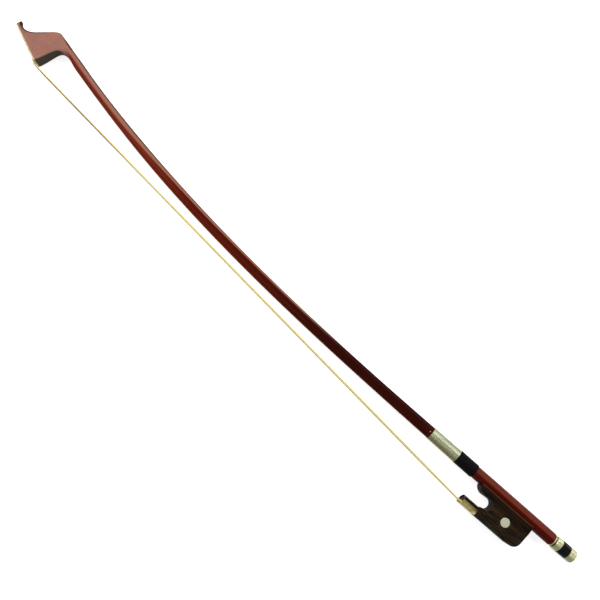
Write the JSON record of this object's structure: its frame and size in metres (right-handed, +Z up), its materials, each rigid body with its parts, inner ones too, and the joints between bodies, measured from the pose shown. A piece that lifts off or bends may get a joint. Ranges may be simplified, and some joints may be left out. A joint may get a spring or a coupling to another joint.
{
  "type": "double bass bow",
  "caption": "French-pattern double bass bow: cambered octagonal stick with a beaked head, ribbon of horsehair, sliding ebony frog with a metal ferrule, and a turning screw button.",
  "frame": {"origin": "bottom centre of the bounding box, with the bow lying on its side", "axes": "+X along the adjusting screw from the head to the button; +Y across the bow from the hair to the stick; +Z up, across the width of the hair"},
  "size_m": [0.7118, 0.0842, 0.0168],
  "materials": {
    "stick_wood": "polished red-brown tropical hardwood",
    "ebony": "satin dark ebony",
    "ebony_slide": "satin dark ebony",
    "ebony_button": "satin black ebony",
    "bone": "polished bone",
    "maple": "bare maple",
    "horsehair": "parallel horsehair",
    "hair_thread": "waxed binding thread",
    "leather": "smooth black leather",
    "silver_wire": "polished wire",
    "nickel_silver": "polished nickel silver",
    "brass": "plain brass",
    "steel": "turned steel",
    "pearl": "polished mother of pearl"
  },
  "bodies": {
    "stick": {"stick": "stick_wood", "head_plate": "bone", "head_plug": "maple", "head_hair_knot": "hair_thread", "thumb_leather": "leather", "lapping": "silver_wire", "lapping_wire_pin": "silver_wire", "hair_ribbon": "horsehair"},
    "frog": {"frog_body": "ebony", "ferrule": "nickel_silver", "ferrule_wedge": "maple", "frog_hair_knot": "hair_thread", "frog_plug": "maple", "frog_slide_plate": "ebony_slide", "pearl_eye_near": "pearl", "pearl_eye_far": "pearl", "underslide": "brass", "underslide_pin_front": "brass", "underslide_pin_rear": "brass", "eyelet": "brass"},
    "screw": {"adjusting_screw": "steel", "button_core": "ebony_button", "button_collar": "nickel_silver", "button_cap": "nickel_silver", "button_pin_collar": "nickel_silver", "button_pin_cap": "nickel_silver"}
  },
  "joints": [
    {"name": "screw_turn", "type": "hinge", "parent": "stick", "child": "screw", "pos_m": [0.33427, -0.01215, 0.0084], "axis": [-1, 0, 0], "range_deg": [0, 2520]},
    {"name": "frog_slide", "type": "slide", "parent": "stick", "child": "frog", "axis": [1, 0, 0], "range_m": [0, 0.0063], "deforming": ["hair_ribbon"]}
  ],
  "couplings": [
    {"joint": "frog_slide", "follows": "screw_turn", "m_per_rad": 0.00014324}
  ]
}
